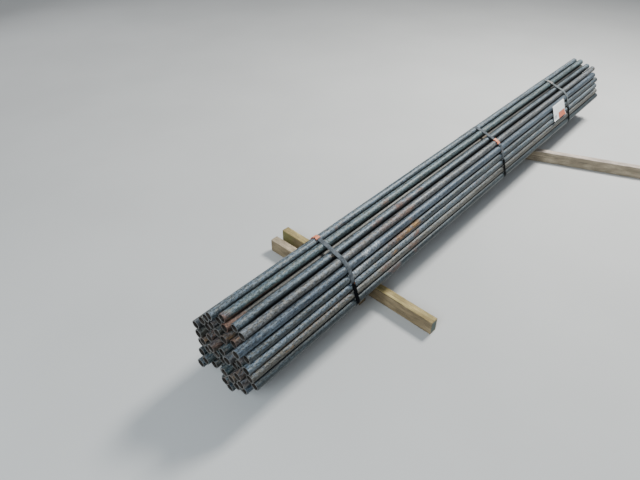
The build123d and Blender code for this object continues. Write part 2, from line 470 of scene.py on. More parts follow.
@dataclass(frozen=True)
class StrapPaint:
    """Blue-black lacquer on steel strapping, rubbed grey and painted lit on its upper part, with painted
    shade below.
    """

    name: str = "strap_lacquer"
    # Near black lacquer, also the painted shade on the strap's lower flanks and underside; the worn grey
    # is also painted top light.
    lacquer_and_shade: Colour = (0.003, 0.0035, 0.0045)
    worn: Colour = (0.175, 0.194, 0.214)
    rust: Colour = (0.17, 0.075, 0.04)
    lit_from: Pair = (0.236, 0.254)
    specular: float = 0.02
    relief: float = 0.0002
    patches: Cells = Cells((60.0, 45.0, 45.0), 4.0, 0.6)
    grain: Cells = Cells((700.0, 260.0, 260.0), 3.0, 0.7)

    def material(self) -> bpy.types.Material:
        """Build the material.

        Returns:
            The material.
        """
        graph = Graph(self.name)
        place = graph.own_place()
        patch, fine = graph.noise(place, self.patches), graph.noise(place, self.grain)
        # Painted light and shade: grey where the strap faces up above lit_from, rubbed in patches, and
        # near black below.
        wear = graph.times(graph.step(graph.up(), -0.05, 0.52), graph.step(patch, 0.34, 0.62, 0.5, 1.0))
        wear = graph.times(wear, graph.step(fine, 0.30, 0.60, 0.5, 1.0), clamp=True)
        wear = graph.times(wear, graph.step(graph.z_of(place), *self.lit_from))
        colour = graph.mix(wear, self.lacquer_and_shade, self.worn)
        colour = graph.mix(graph.times(graph.step(patch, 0.62, 0.74), 0.7), colour, self.rust)
        graph.bump(fine, self.relief, 0.4)
        return graph.finish(colour, graph.step(fine, 0.3, 0.7, 0.52, 0.72), specular=self.specular)


@dataclass(frozen=True)
class SealPaint:
    """Orange-red paint on a crimped seal, dusty and chipped, or weathered off down to steel."""

    name: str = "seal_paint"
    paint: Colour = (0.80, 0.185, 0.080)
    faded: Colour = (0.92, 0.36, 0.20)
    chip: Colour = (0.10, 0.085, 0.08)
    steel: Colour = (0.235, 0.245, 0.235)
    weathered: float = 0.0
    relief: float = 0.0003
    patches: Cells = Cells((160.0, 160.0, 160.0), 4.0, 0.6)
    grain: Cells = Cells((900.0, 900.0, 900.0), 3.0, 0.7)

    def material(self) -> bpy.types.Material:
        """Build the material.

        Returns:
            The material.
        """
        graph = Graph(self.name)
        place = graph.own_place()
        patch, fine = graph.noise(place, self.patches), graph.noise(place, self.grain)
        fade = graph.times(graph.step(graph.up(), 0.0, 0.9), graph.step(patch, 0.35, 0.6, 0.25, 0.9))
        colour = graph.mix(fade, self.paint, self.faded)
        bare = graph.step(patch, 0.66 - self.weathered, 0.78 - self.weathered, 0.0, self.weathered)
        colour = graph.mix(bare, colour, graph.gain(self.steel, graph.step(fine, 0.3, 0.7, 0.6, 1.3)))
        colour = graph.mix(graph.times(graph.step(patch, 0.64, 0.70), 0.8), colour, self.chip)
        graph.bump(fine, self.relief, 0.4)
        return graph.finish(colour, graph.step(fine, 0.3, 0.7, 0.38, 0.6))


@dataclass(frozen=True)
class TagSheet:
    """White weatherproof label sheet with a plain orange-red block in one corner."""

    sheet: Colour = (0.96, 0.98, 0.985)
    block: Colour = (0.66, 0.165, 0.080)
    mark: Colour = (0.34, 0.36, 0.38)
    dirt: Colour = (0.42, 0.39, 0.34)
    relief: float = 0.0002
    clouds: Cells = Cells((30.0, 30.0, 30.0), 4.0, 0.6)
    grain: Cells = Cells((520.0, 520.0, 520.0), 3.0, 0.7)

    def material(self) -> bpy.types.Material:
        """Build the material from the sheet's own coordinate.

        Returns:
            The material.
        """
        graph = Graph("tag_sheet")
        place = graph.attribute("surface", "Vector")
        cloud, fine = graph.noise(place, self.clouds), graph.noise(place, self.grain)
        colour = graph.gain(self.sheet, graph.step(fine, 0.3, 0.7, 0.96, 1.01))
        ink = graph.times(graph.attribute("block"), graph.step(fine, 0.25, 0.5, 0.65, 1.0))
        colour = graph.mix(ink, colour, self.block)
        faint = graph.times(graph.attribute("mark"), graph.step(cloud, 0.35, 0.6, 0.25, 0.9))
        colour = graph.mix(faint, colour, self.mark)
        colour = graph.mix(graph.times(graph.step(cloud, 0.58, 0.75), 0.14), colour, self.dirt)
        graph.bump(fine, self.relief, 0.3)
        return graph.finish(colour, graph.step(fine, 0.3, 0.7, 0.42, 0.62))


@dataclass(frozen=True)
class SawnTimber:
    """Weathered sawn softwood, with moss at one end and a painted end where it has them."""

    kind: Timber
    early: Colour
    late: Colour
    side: Colour
    moss: Colour = (0.205, 0.195, 0.070)
    paint: Colour = (0.140, 0.172, 0.155)
    crack: Colour = (0.045, 0.034, 0.024)
    specular: float = 0.3
    relief: float = 0.0010
    bands: Cells = Cells((6.0, 260.0, 170.0), 4.0, 0.6)
    fibres: Cells = Cells((26.0, 1500.0, 1500.0), 3.0, 0.7)
    clouds: Cells = Cells((14.0, 40.0, 40.0), 4.0, 0.6)
    splits: Cells = Cells((3.0, 420.0, 220.0), 2.0, 0.5)
    rings: Cells = Cells((60.0, 210.0, 330.0), 3.0, 0.5)

    def material(self) -> bpy.types.Material:
        """Build the material from the timber's own coordinate.

        Returns:
            The material.
        """
        graph = Graph(f"timber_{self.kind.value}")
        place = graph.attribute("surface", "Vector")
        bands, fibre = graph.noise(place, self.bands), graph.noise(place, self.fibres)
        cloud, split = graph.noise(place, self.clouds), graph.noise(place, self.splits)

        top = graph.mix(graph.step(bands, 0.38, 0.62), self.early, self.late)
        colour = graph.mix(graph.step(graph.up(), 0.15, 0.75), self.side, top)
        colour = graph.gain(colour, graph.step(fibre, 0.25, 0.75, 0.62, 1.34))
        colour = graph.gain(colour, graph.step(cloud, 0.28, 0.72, 0.66, 1.28))
        rings = graph.noise(place, self.rings)
        end_grain = graph.gain(self.side, graph.step(rings, 0.35, 0.65, 0.45, 1.35))
        colour = graph.mix(graph.attribute("end"), colour, end_grain)
        cracks = graph.step(split, 0.655, 0.70)
        colour = graph.mix(graph.times(cracks, 0.85), colour, self.crack)
        shaded = graph.times(graph.attribute("moss"), graph.step(graph.up(), 0.7, 0.2, 0.25, 1.0))
        green = graph.plus(shaded, graph.swing(cloud))
        colour = graph.mix(graph.step(green, 0.30, 0.75, 0.0, 0.88), colour, self.moss)
        coat = graph.times(graph.attribute("paint"), graph.step(cloud, 0.22, 0.4, 0.5, 1.0))
        colour = graph.mix(coat, colour, self.paint)

        relief = graph.math("SUBTRACT", graph.plus(fibre, graph.times(bands, 0.6)), cracks)
        graph.bump(relief, self.relief, 0.7)
        return graph.finish(colour, graph.step(fibre, 0.3, 0.7, 0.72, 0.92), specular=self.specular)


@dataclass(frozen=True)
class PaleFloor:
    """Plain pale floor with a faint unevenness."""

    tone: Colour = (0.66, 0.655, 0.64)
    rough: float = 0.85
    specular: float = 0.2
    clouds: Cells = Cells((1.5, 1.5, 1.5), 3.0, 0.5)

    def material(self) -> bpy.types.Material:
        """Build the material.

        Returns:
            The material.
        """
        graph = Graph("pale_floor")
        cloud = graph.noise(graph.own_place(), self.clouds)
        colour = graph.gain(self.tone, graph.step(cloud, 0.3, 0.7, 0.97, 1.02))
        return graph.finish(colour, self.rough, specular=self.specular)


class Grid:
    """A mesh made of rows of points, with the named values that its material reads."""

    def __init__(self) -> None:
        """Start with no points."""
        self.points: list[np.ndarray] = []
        self.faces: list[np.ndarray] = []
        self.values: dict[str, list[np.ndarray]] = {}
        self.count = 0

    def add(self, rows: np.ndarray, loops: bool, across: bool, **values: np.ndarray) -> None:
        """Add a sheet of points.

        Args:
            rows: Points as rows by columns by three.
            loops: Whether the last row joins the first.
            across: Whether the last column joins the first.
            values: Named values for every point, as rows by columns, or by three.
        """
        count, width = rows.shape[:2]
        row = np.arange(count if loops else count - 1)[:, None]
        column = np.arange(width if across else width - 1)[None, :]
        next_row, next_column = (row + 1) % count, (column + 1) % width
        corners = (
            row * width + column, row * width + next_column,
            next_row * width + next_column, next_row * width + column,
        )
        self.faces.append(np.stack(corners, axis=-1).reshape(-1, 4) + self.count)
        self.points.append(rows.reshape(-1, 3))
        for name, value in values.items():
            size = 3 if value.ndim == 3 else 1
            self.values.setdefault(name, []).append(value.reshape(-1, size))
        self.count += count * width

    def piece(self, name: str, material: bpy.types.Material) -> bpy.types.Object:
        """Make the mesh object.

        Args:
            name: Name of the object.
            material: Its material.

        Returns:
            The object, in the scene.
        """
        mesh = bpy.data.meshes.new(name)
        points = np.concatenate(self.points)
        mesh.from_pydata(points.tolist(), [], np.concatenate(self.faces).tolist())
        mesh.polygons.foreach_set("use_smooth", [True] * len(mesh.polygons))
        for key, parts in self.values.items():
            data = np.concatenate(parts).astype(np.float32)
            if data.shape[1] == 1:
                made = mesh.attributes.new(key, "FLOAT", "POINT")
                made.data.foreach_set("value", data.ravel())
            else:
                made = mesh.attributes.new(key, "FLOAT_VECTOR", "POINT")
                made.data.foreach_set("vector", data.ravel())
        mesh.materials.append(material)
        mesh.update()
        obj = bpy.data.objects.new(name, mesh)
        bpy.context.scene.collection.objects.link(obj)
        return obj


def hand_over(obj: bpy.types.Object, node: str) -> None:
    """Let a finished piece stand for its node, and report it.

    Args:
        obj: The piece.
        node: The node that it replaces.
    """
    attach(obj, BODY)
    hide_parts(node)
    LOG.info("%s: %d faces", obj.name, len(obj.data.polygons))


@dataclass(frozen=True)
class Axis:
    """Where one pipe lies: its node, the middle of its section and its two ends."""

    node: str
    y: float
    z: float
    near: float
    far: float


@dataclass(frozen=True)
class Patch:
    """A rusty or scuffed place on a pipe.

    Place and reach along the pipe are metres from its near end, and round it degrees from +Y.
    """

    along: float
    reach: float
    angle: float = 127.0
    spread: float = 70.0
    rust: float = 0.6
    ochre: float = 0.2
    scuff: float = 0.0


@dataclass(frozen=True)
class Look:
    """Finish of one pipe: its scale, how much dust and painted top light it has, and its marks."""

    tint: Tint
    dust_and_top_light: float = 0.55
    patches: tuple[Patch, ...] = ()


def pipe_axes(nodes: Nodes) -> list[Axis]:
    """Find every pipe in the frame, also where several share a node.

    Args:
        nodes: The frame's nodes.

    Returns:
        The axes of all pipes, node by node.
    """
    found: list[Axis] = []
    for name in sorted(nodes):
        if "pipe" not in name:
            continue
        mesh = nodes[name].data
        points = np.zeros(len(mesh.vertices) * 3, np.float32)
        mesh.vertices.foreach_get("co", points)
        points = points.reshape(-1, 3).astype(float)
        ends = points[:, 0] < points[:, 0].mean()
        while ends.any():
            y, z = end_centre(points[ends])
            own = np.hypot(points[:, 1] - y, points[:, 2] - z) < PIPE_REACH
            low, high = points[own, 0].min(), points[own, 0].max()
            found.append(Axis(name, float(y), float(z), float(low), float(high)))
            ends &= ~own
    return found


def end_centre(points: np.ndarray) -> Pair:
    """Fit the circle of the pipe end that holds the first of some points.

    Args:
        points: Points on pipe ends that each lie at their own place along X.

    Returns:
        Y and Z of the middle of that end.
    """
    ring = points[np.abs(points[:, 0] - points[0, 0]) < SAME_PLACE][:, 1:]
    middle = (ring.min(axis=0) + ring.max(axis=0)) / 2
    rim = ring[np.hypot(*(ring - middle).T) > RIM_FROM]
    table = np.column_stack([2 * rim, np.ones(len(rim))])
    y, z, _ = np.linalg.lstsq(table, (rim ** 2).sum(axis=1), rcond=None)[0]
    return float(y), float(z)


@dataclass
class PipeStock:
    """All pipes of the bundle, as smooth tubes with softened ends."""

    axes: list[Axis]
    finish: MillScale = field(default_factory=MillScale)
    radius: float = PIPE_RADIUS
    wall: float = 0.00338
    soft_edge: float = 0.0006
    ring_every: float = 0.024
    sides: int = 40
    end_out_of_square: float = 0.0007
    square_from: float = 0.1
    bore_rings: tuple[float, ...] = (0.003, 0.03, 0.25)
    end_rings: tuple[float, ...] = (0.02, 0.04, 0.065, 0.1, 0.16, 0.5)
    open_reach: float = 0.06
    touch: float = 0.02
    shade_reach: float = 0.60
    shade_spread: float = 8.0
    shade_fade: float = 0.03
    # The painted crevice shade grows along the bundle by these levels, strongest at the far end.
    shade_places: tuple[float, ...] = (0.35, 0.80)
    shade_levels: tuple[float, ...] = (1.0, 1.7)
    # Painted light along the bundle: dust and top light scaled up near both ends and down in the middle.
    painted_light_places: tuple[float, ...] = (0.05, 0.20, 0.42, 0.62, 0.90)
    painted_light_levels: tuple[float, ...] = (1.12, 1.12, 0.92, 0.92, 1.16)
    # These two pipes get a wider band of painted shade between them.
    wide_shade_pair: tuple[str, str] = ("top_pipe_4", "top_pipe_5")
    wide_shade_reach: float = 1.75
    band_places: tuple[float, ...] = (0.715, 0.875)
    spots: int = 4
    own_spots: int = 2
    seed: int = 5

    def look(self, name: str, chance: random.Random) -> Look:
        """Choose the finish of a pipe.

        Args:
            name: The pipe's node.
            chance: Source of the finishes that aren't chosen by hand.

        Returns:
            The finish.
        """
        bands = tuple(
            Patch(
                along=place + chance.uniform(-0.02, 0.02), reach=0.05,
                rust=chance.uniform(0.1, 0.45), spread=110,
            )
            for place in self.band_places
        )
        spots = tuple(
            Patch(
                along=chance.uniform(0.05, 3.0), reach=chance.uniform(0.02, 0.14),
                angle=chance.uniform(0, 360), spread=chance.uniform(20, 60),
                rust=chance.uniform(0.2, 0.55), ochre=chance.uniform(0, 0.8),
            )
            for _ in range(self.spots)
        )
        tint = chance.choice(list(Tint))
        if name.startswith("inner"):
            tint = chance.choice((Tint.BROWN, Tint.GREY, Tint.GREEN))
            mouth = Patch(
                along=0.0, reach=chance.uniform(0.05, 0.16), spread=200.0,
                rust=chance.uniform(0.25, 0.80), ochre=chance.uniform(0.0, 0.5),
            )
            return Look(tint, chance.uniform(0.3, 0.6), (mouth,))
        if name not in LOOKS:
            return Look(tint, chance.uniform(0.3, 0.55), bands + spots)
        chosen = LOOKS[name]
        return Look(chosen.tint, chosen.dust_and_top_light, chosen.patches + spots[:self.own_spots])

    def lip(self, end: float, sign: int) -> list[tuple[float, float, float, float]]:
        """Rings round one end of a pipe, from its outside over the cut face into its bore.

        Args:
            end: Place of the end along the pipe.
            sign: 1 where the pipe ends at its highest X, and -1 at its lowest.

        Returns:
            Place, radius, and how much each ring is cut face and bore.
        """
        soft, inner = self.soft_edge, self.radius - self.wall
        rings = [
            (soft, self.radius, 0.2, 0.0),
            (soft * 0.3, self.radius - soft * 0.3, 0.8, 0.0),
            (0.0, self.radius - soft, 1.0, 0.0),
            (0.0, inner + soft, 1.0, 0.1),
            (soft * 0.3, inner + soft * 0.3, 0.8, 0.4),
            (soft, inner, 0.4, 0.8),
        ]
        rings += [(depth, inner, 0.0, 1.0) for depth in self.bore_rings]
        return [(end - sign * depth, radius, cut, bore) for depth, radius, cut, bore in rings]

    def profile(self, axis: Axis, fine: bool) -> tuple[np.ndarray, ...]:
        """Outline of the wall, turned about the axis to make the tube.

        Args:
            axis: The pipe.
            fine: Whether it has rings close enough to carry marks.

        Returns:
            Places along the pipe, radii, and how much each point is cut face and bore.
        """
        margin = 4 * self.soft_edge
        if fine:
            count = int((axis.far - axis.near) / self.ring_every)
            outside = list(np.linspace(axis.near + margin, axis.far - margin, count + 1))
        else:
            steps = (margin, *self.end_rings)
            outside = [axis.near + step for step in steps]
            outside += [axis.far - step for step in reversed(steps)]
        wall = [(x, self.radius, 0.0, 0.0) for x in outside]
        rows = wall + self.lip(axis.far, 1) + self.lip(axis.near, -1)[::-1]
        return tuple(np.array(rows).T)

    def crevice(self, axis: Axis, angles: np.ndarray) -> np.ndarray:
        """How closed in the wall is round a pipe, by the pipes beside it; this sets the painted shade in
        its crevices.

        Args:
            axis: The pipe.
            angles: Directions round it.

        Returns:
            A value from 0, open, to 1 at a line of contact, for every direction.
        """
        closed = np.zeros_like(angles)
        for other in self.axes:
            gap = math.hypot(other.y - axis.y, other.z - axis.z) - 2 * self.radius
            if other is axis or abs(gap) > self.touch:
                continue
            toward = math.atan2(other.z - axis.z, other.y - axis.y)
            off = (angles - toward + math.pi) % (2 * math.pi) - math.pi
            reach = self.shade_reach + gap * self.shade_spread
            if axis.node in self.wide_shade_pair and other.node in self.wide_shade_pair:
                reach *= self.wide_shade_reach
            closed += np.exp(-((off / reach) ** 2)) * (1 - gap / self.shade_fade)
        return np.clip(closed, 0.0, 1.0)

    def marks(self, look: Look, from_near: np.ndarray, angles: np.ndarray) -> dict[str, np.ndarray]:
        """Spread the rust, ochre and scuffs of a pipe over its points.

        Args:
            look: The pipe's finish.
            from_near: How far each point lies from the near end, as rows by columns.
            angles: Directions of the columns round the pipe.

        Returns:
            The three values of every point, by name.
        """
        marks = {name: np.zeros_like(from_near) for name in ("rust", "ochre", "scuff")}
        for patch in look.patches:
            off = (np.degrees(angles) - patch.angle + 180) % 360 - 180
            weight = np.exp(-(((from_near - patch.along) / patch.reach) ** 2))
            weight = weight * np.exp(-((off / patch.spread) ** 2))[None, :]
            for name, level in (("rust", patch.rust), ("ochre", patch.ochre), ("scuff", patch.scuff)):
                marks[name] = np.maximum(marks[name], level * weight)
        return marks

    def tube(self, grid: Grid, axis: Axis, fine: bool, chance: random.Random) -> None:
        """Add one pipe to a mesh.

        Args:
            grid: The mesh that the pipe joins.
            axis: The pipe.
            fine: Whether it carries marks along its length.
            chance: Source of its small differences.
        """
        look = self.look(axis.node, chance)
        roll, shift = chance.uniform(0, math.tau), chance.uniform(0, 40)
        lean = chance.uniform(0.2, 1.0) * self.end_out_of_square
        lean_to = chance.uniform(0, math.tau)
        angles = np.linspace(0, math.tau, self.sides, endpoint=False)
        x, radii, cut, bore = self.profile(axis, fine)
        near_end = np.clip(1 - (x - axis.near) / self.square_from, 0, 1)
        far_end = np.clip(1 - (axis.far - x) / self.square_from, 0, 1)
        along = x[:, None] + np.outer(near_end - far_end, lean * np.cos(angles - lean_to))
        ys, zs = np.outer(radii, np.cos(angles)), np.outer(radii, np.sin(angles))
        turned = angles + roll
        turned_ys, turned_zs = np.outer(radii, np.cos(turned)), np.outer(radii, np.sin(turned))

        from_end = np.minimum(x - axis.near, axis.far - x)
        share = (x - axis.near) / (axis.far - axis.near)
        # Painted shade between pipes: none at the open ends or in the bore, stronger towards the far end.
        closed = (1 - np.exp(-((from_end / self.open_reach) ** 2))) * (1 - bore)
        closed = closed * np.interp(share, self.shade_places, self.shade_levels)
        # Painted light: each pipe's dust and top light, scaled along the bundle.
        dust_and_top_light = look.dust_and_top_light * np.interp(share, self.painted_light_places, self.painted_light_levels)
        ones = np.ones_like(along)
        values = {
            "surface": np.stack([along + shift, turned_ys, turned_zs], axis=-1),
            "scale_colour": ones[..., None] * np.array(look.tint.value) * chance.uniform(0.88, 1.12),
            "dust_and_top_light": ones * dust_and_top_light[:, None],
            "crevice": np.outer(closed, self.crevice(axis, angles)).clip(0, 1),
            "cut": ones * cut[:, None],
            "bore": ones * bore[:, None],
            **self.marks(look, along - axis.near, angles),
        }
        rows = np.stack([along, axis.y + ys, axis.z + zs], axis=-1)
        outward = {name: value[::-1] for name, value in values.items()}
        grid.add(rows[::-1], loops=True, across=True, **outward)

    def build(self) -> None:
        """Make every pipe, one object for each node."""
        material = self.finish.material()
        chance = random.Random(self.seed)
        for node in sorted({axis.node for axis in self.axes}):
            grid = Grid()
            for axis in self.axes:
                if axis.node == node:
                    self.tube(grid, axis, not node.startswith("inner"), chance)
            hand_over(grid.piece(f"dressed_{node}", material), node)


LOOKS = {
    "top_pipe_1": Look(
        Tint.SLATE, 0.56, (Patch(0.80, 0.10, 60, 40, 0.35), Patch(0.35, 0.3, 150, 60, 0.2, 0.3)),
    ),
    "top_pipe_2": Look(
        Tint.GREEN, 0.60,
        (
            Patch(0.10, 0.30, 186, 22, 1.15, 0.55), Patch(0.0, 0.03, 127, 180, 0.8, 0.1),
            Patch(0.86, 0.05, 130, 60, 0.75, 0.35), Patch(1.9, 0.30, 165, 40, 0.4, 0.7),
            Patch(1.25, 0.12, 150, 50, 0.25, 0.6),
        ),
    ),
    "top_pipe_3": Look(
        Tint.BROWN, 0.12,
        (Patch(0.0, 0.09, 127, 180, 1.05, 0.15), Patch(0.40, 0.3, 127, 90, 0.30, 0.3)),
    ),
    "top_pipe_4": Look(
        Tint.SLATE, 0.54,
        (
            Patch(0.73, 0.05, 140, 60, 0.85, 0.0), Patch(0.885, 0.045, 125, 60, 0.95, 0.05),
            Patch(0.95, 0.04, 115, 50, 0.75, 0.1), Patch(1.04, 0.03, 110, 40, 0.7, 0.0),
            Patch(0.47, 0.025, 120, 50, 0.6, 0.9),
        ),
    ),
    "top_pipe_5": Look(
        Tint.GREY, 0.58,
        (
            Patch(0.74, 0.05, 135, 60, 0.7, 0.35), Patch(0.89, 0.06, 135, 60, 0.85, 0.3),
            Patch(0.81, 0.09, 130, 70, 0.6, 0.2), Patch(0.60, 0.10, 130, 70, 0.45, 0.4),
        ),
    ),
    "top_pipe_6": Look(
        Tint.BLUE, 0.46,
        (
            Patch(0.632, 0.006, 130, 50, scuff=1.0, rust=0), Patch(0.706, 0.008, 110, 50, 0, 0, 1.0),
            Patch(0.67, 0.03, 120, 60, 0, 0, 0.5), Patch(0.3, 0.02, 170, 25, 0.6, 0.0),
            Patch(0.93, 0.03, 140, 40, 0.6, 0.1),
        ),
    ),
    "right_pipe_1": Look(
        Tint.DARK, 0.66,
        (
            Patch(0.80, 0.10, 135, 80, 0.85, 0.45), Patch(0.93, 0.03, 120, 80, 1.2, 1.0),
            Patch(0.87, 0.04, 120, 80, 1.0, 0.8), Patch(0.515, 0.03, 130, 60, 0, 0, 0.9),
            Patch(0.56, 0.05, 130, 60, 0, 0, 0.5),
        ),
    ),
    "right_pipe_2": Look(
        Tint.SLATE, 1.0,
        (
            Patch(0.77, 0.05, 160, 50, 0.75, 0.7), Patch(0.93, 0.04, 140, 60, 0.9, 0.15),
            Patch(0.28, 0.30, 200, 24, 1.05, 0.75),
        ),
    ),
    "right_pipe_3": Look(
        Tint.BROWN, 0.60,
        (
            Patch(0.70, 0.04, 140, 60, 0.75, 0.15), Patch(0.90, 0.05, 150, 60, 0.85, 0.35),
            Patch(0.32, 0.25, 110, 30, 0.45, 0.6), Patch(0.15, 0.12, 150, 50, 0.4, 0.6),
        ),
    ),
    "right_pipe_4": Look(
        Tint.DARK, 0.14, (Patch(0.75, 0.05, 150, 60, 0.7, 0.1), Patch(0.90, 0.03, 150, 60, 0.6, 0.1)),
    ),
}


@dataclass(frozen=True)
class Girth:
    """The line that a strap or a sheet takes round the outermost pipes."""

    axes: tuple[Axis, ...]
    raised: str = ""
    lift: float = 0.0
    least_bend: float = 0.00012
    arc_step: float = 0.06
    side_step: float = 0.006
    facing: float = 0.2

    def corners(self) -> list[Corner]:
        """Pipes that the line bends round, anticlockwise, with the raised one moved out.

        Returns:
            Y, Z and node of each.
        """
        spots = sorted((axis.y, axis.z, axis.node) for axis in self.axes)
        loop: list[Corner] = []
        for run in (spots, spots[::-1]):
            chain: list[Corner] = []
            for spot in run:
                while len(chain) > 1 and self.turn(chain[-2], chain[-1], spot) <= 0:
                    chain.pop()
                chain.append(spot)
            loop += chain[:-1]
        while True:
            bends = [
                self.turn(loop[i - 1], c, loop[(i + 1) % len(loop)])
                / math.dist(loop[i - 1][:2], loop[(i + 1) % len(loop)][:2])
                for i, c in enumerate(loop)
            ]
            if min(bends) > self.least_bend:
                break
            loop.pop(bends.index(min(bends)))
        for i, (y, z, node) in enumerate(loop):
            if node == self.raised:
                out = self.outward(loop, i)
                loop[i] = (y + self.lift * math.cos(out), z + self.lift * math.sin(out), node)
        return loop

    @staticmethod
    def turn(a: Corner, b: Corner, c: Corner) -> float:
        """Twice the area that three places enclose, positive where they turn left."""
        return (b[0] - a[0]) * (c[1] - b[1]) - (b[1] - a[1]) * (c[0] - b[0])

    @staticmethod
    def outward(loop: list[Corner], i: int) -> float:
        """Angle midway between the normals of the two sides at a corner.

        Args:
            loop: All corners, anticlockwise.
            i: Number of the corner.

        Returns:
            The angle from +Y.
        """
        (ay, az), (cy, cz), (by, bz) = loop[i - 1][:2], loop[i][:2], loop[(i + 1) % len(loop)][:2]
        before = math.atan2(cz - az, cy - ay)
        turn = (math.atan2(bz - cz, by - cy) - before) % math.tau
        return before + turn / 2 - math.pi / 2

    def path(self, distance: float) -> tuple[np.ndarray, np.ndarray]:
        """Points all round at a distance from the pipe axes, close enough to look smooth.

        Args:
            distance: Distance from the axes.

        Returns:
            The points as Y and Z, and the outward normal at each.
        """
        loop = self.corners()
        points, normals = [], []
        for i, (y, z, _) in enumerate(loop):
            (ay, az), (by, bz) = loop[i - 1][:2], loop[(i + 1) % len(loop)][:2]
            first = math.atan2(z - az, y - ay) - math.pi / 2
            turn = (math.atan2(bz - z, by - y) - math.pi / 2 - first) % math.tau
            steps = max(2, round(turn / self.arc_step))
            for k in range(steps + 1):
                angle = first + turn * k / steps
                normals.append((math.cos(angle), math.sin(angle)))
                points.append((y + distance * normals[-1][0], z + distance * normals[-1][1]))
            side = math.dist((y, z), (by, bz))
            pieces = max(1, round(side / self.side_step))
            for k in range(1, pieces):
                share = k / pieces
                normals.append(normals[-1])
                start = (y + distance * normals[-1][0], z + distance * normals[-1][1])
                points.append((start[0] + (by - y) * share, start[1] + (bz - z) * share))
        return np.array(points), np.array(normals)

    def stretch(
        self, node: str, distance: float, length: float, shift: float = 0.0
    ) -> tuple[np.ndarray, np.ndarray, np.ndarray]:
        """The part of the path that lies over one pipe.

        Args:
            node: The pipe.
            distance: Distance of the path from the axes.
            length: Length of the part, measured straight.
            shift: How far its middle lies beyond the pipe, anticlockwise.

        Returns:
            Points, normals, and how far along the part each point lies, from 0 to 1.
        """
        loop = self.corners()
        i = [corner[2] for corner in loop].index(node)
        out = self.outward(loop, i)
        points, normals = self.path(distance)
        along = np.array([-math.sin(out), math.cos(out)])
        place = (points - loop[i][:2]) @ along - shift
        facing = normals @ [math.cos(out), math.sin(out)] > self.facing
        near = np.hypot(*(points - loop[i][:2]).T) < length
        chosen = np.where((np.abs(place) <= length / 2) & facing & near)[0]
        order = chosen[np.argsort(place[chosen])]
        return points[order], normals[order], place[order] / length + 0.5


def ribbon(
    points: np.ndarray, normals: np.ndarray, x: float, width: float, thick: float, soft: float
) -> np.ndarray:
    """Sweep a flat strip with softened edges along a path.

    Args:
        points: Path of its underside as Y and Z.
        normals: Outward normals of the path.
        x: Middle of the strip along the pipes.
        width: Its width along the pipes.
        thick: Its thickness.
        soft: Radius of its edges.

    Returns:
        Points as rows along the path by columns round the strip.
    """
    half = width / 2
    across = np.linspace(-half + soft, half - soft, STRAP_COLUMNS)
    section = [(-half, soft), (-half, thick - soft)] + [(a, thick) for a in across]
    section += [(half, thick - soft), (half, soft)] + [(a, 0.0) for a in across[::-1]]
    rows = np.zeros((len(points), len(section), 3))
    for j, (off, up) in enumerate(section):
        rows[:, j, 0] = x + off
        rows[:, j, 1:] = points + normals * up
    return rows


@dataclass
class Strapping:
    """The straps with their overlapping ends, and their crimped seals."""

    nodes: Nodes
    axes: tuple[Axis, ...]
    radius: float = PIPE_RADIUS
    gap: float = STRAP_GAP
    thickness: float = 0.0008
    width: float = 0.019
    soft: float = 0.00022
    lift: float = 0.00105
    tail: float = 0.054
    tail_shift: float = 0.0055
    seal_edge: float = 0.00018
    seal_round_from: float = 35.0
    seal_sharp_from: float = 40.0
    places: tuple[tuple[str, str], ...] = (
        ("near", "top_pipe_1"), ("middle", "top_pipe_5"), ("far", "top_pipe_2"),
    )

    def strap(self, place: str, pipe: str, material: bpy.types.Material) -> None:
        """Make one strap.

        Args:
            place: Name of its place along the bundle.
            pipe: The pipe under its seal.
            material: Its paint.
        """
        low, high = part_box(f"strap_{place}")
        x = (low.x + high.x) / 2
        girth = Girth(self.axes, pipe, self.lift)
        grid = Grid()
        points, normals = girth.path(self.radius + self.gap)
        rows = ribbon(points, normals, x, self.width, self.thickness, self.soft)
        grid.add(rows, loops=True, across=True)
        inside = self.radius + self.gap + self.thickness
        points, normals, _ = girth.stretch(pipe, inside, self.tail, self.tail_shift)
        points, normals = capped(points), capped(normals)
        rows = ribbon(points, normals, x, self.width, self.thickness, self.soft)
        rows[0] = rows[0].mean(axis=0)
        rows[-1] = rows[-1].mean(axis=0)
        grid.add(rows, loops=False, across=True)
        obj = grid.piece(f"dressed_strap_{place}", material)
        hand_over(obj, f"strap_{place}")

    def seal(self, place: str, material: bpy.types.Material) -> None:
        """Make one seal, as the solid with its edges rounded.

        Args:
            place: Name of its place along the bundle.
            material: Its paint.
        """
        name = f"seal_{place}"
        obj = bpy.data.objects.new(f"dressed_{name}", self.nodes[name].data.copy())
        bpy.context.scene.collection.objects.link(obj)
        shape = obj.modifiers.new("edges", "BEVEL")
        shape.width = self.seal_edge
        shape.segments = 2
        shape.limit_method = "ANGLE"
        shape.angle_limit = math.radians(self.seal_round_from)
        view = bpy.context.evaluated_depsgraph_get()
        mesh = bpy.data.meshes.new_from_object(obj.evaluated_get(view))
        obj.modifiers.clear()
        obj.data = mesh
        mesh.materials.clear()
        mesh.materials.append(material)
        mesh.polygons.foreach_set("use_smooth", [True] * len(mesh.polygons))
        mesh.set_sharp_from_angle(angle=math.radians(self.seal_sharp_from))
        hand_over(obj, name)

    def build(self) -> None:
        """Make all straps and seals."""
        lacquer_and_shade, paint = StrapPaint().material(), SealPaint().material()
        # The far strap's upper part gets a lighter grey, as dust and painted light.
        dusty_and_lit = StrapPaint("strap_lacquer_dusty_and_lit", worn=(0.25, 0.275, 0.285)).material()
        bare = SealPaint("seal_paint_weathered", weathered=0.94).material()
        for place, pipe in self.places:
            self.strap(place, pipe, dusty_and_lit if place == "far" else lacquer_and_shade)
            self.seal(place, bare if place == "far" else paint)


def capped(rows: np.ndarray) -> np.ndarray:
    """Repeat the first and the last row, so that the end of a sweep can be closed."""
    return np.concatenate([rows[:1], rows, rows[-1:]])


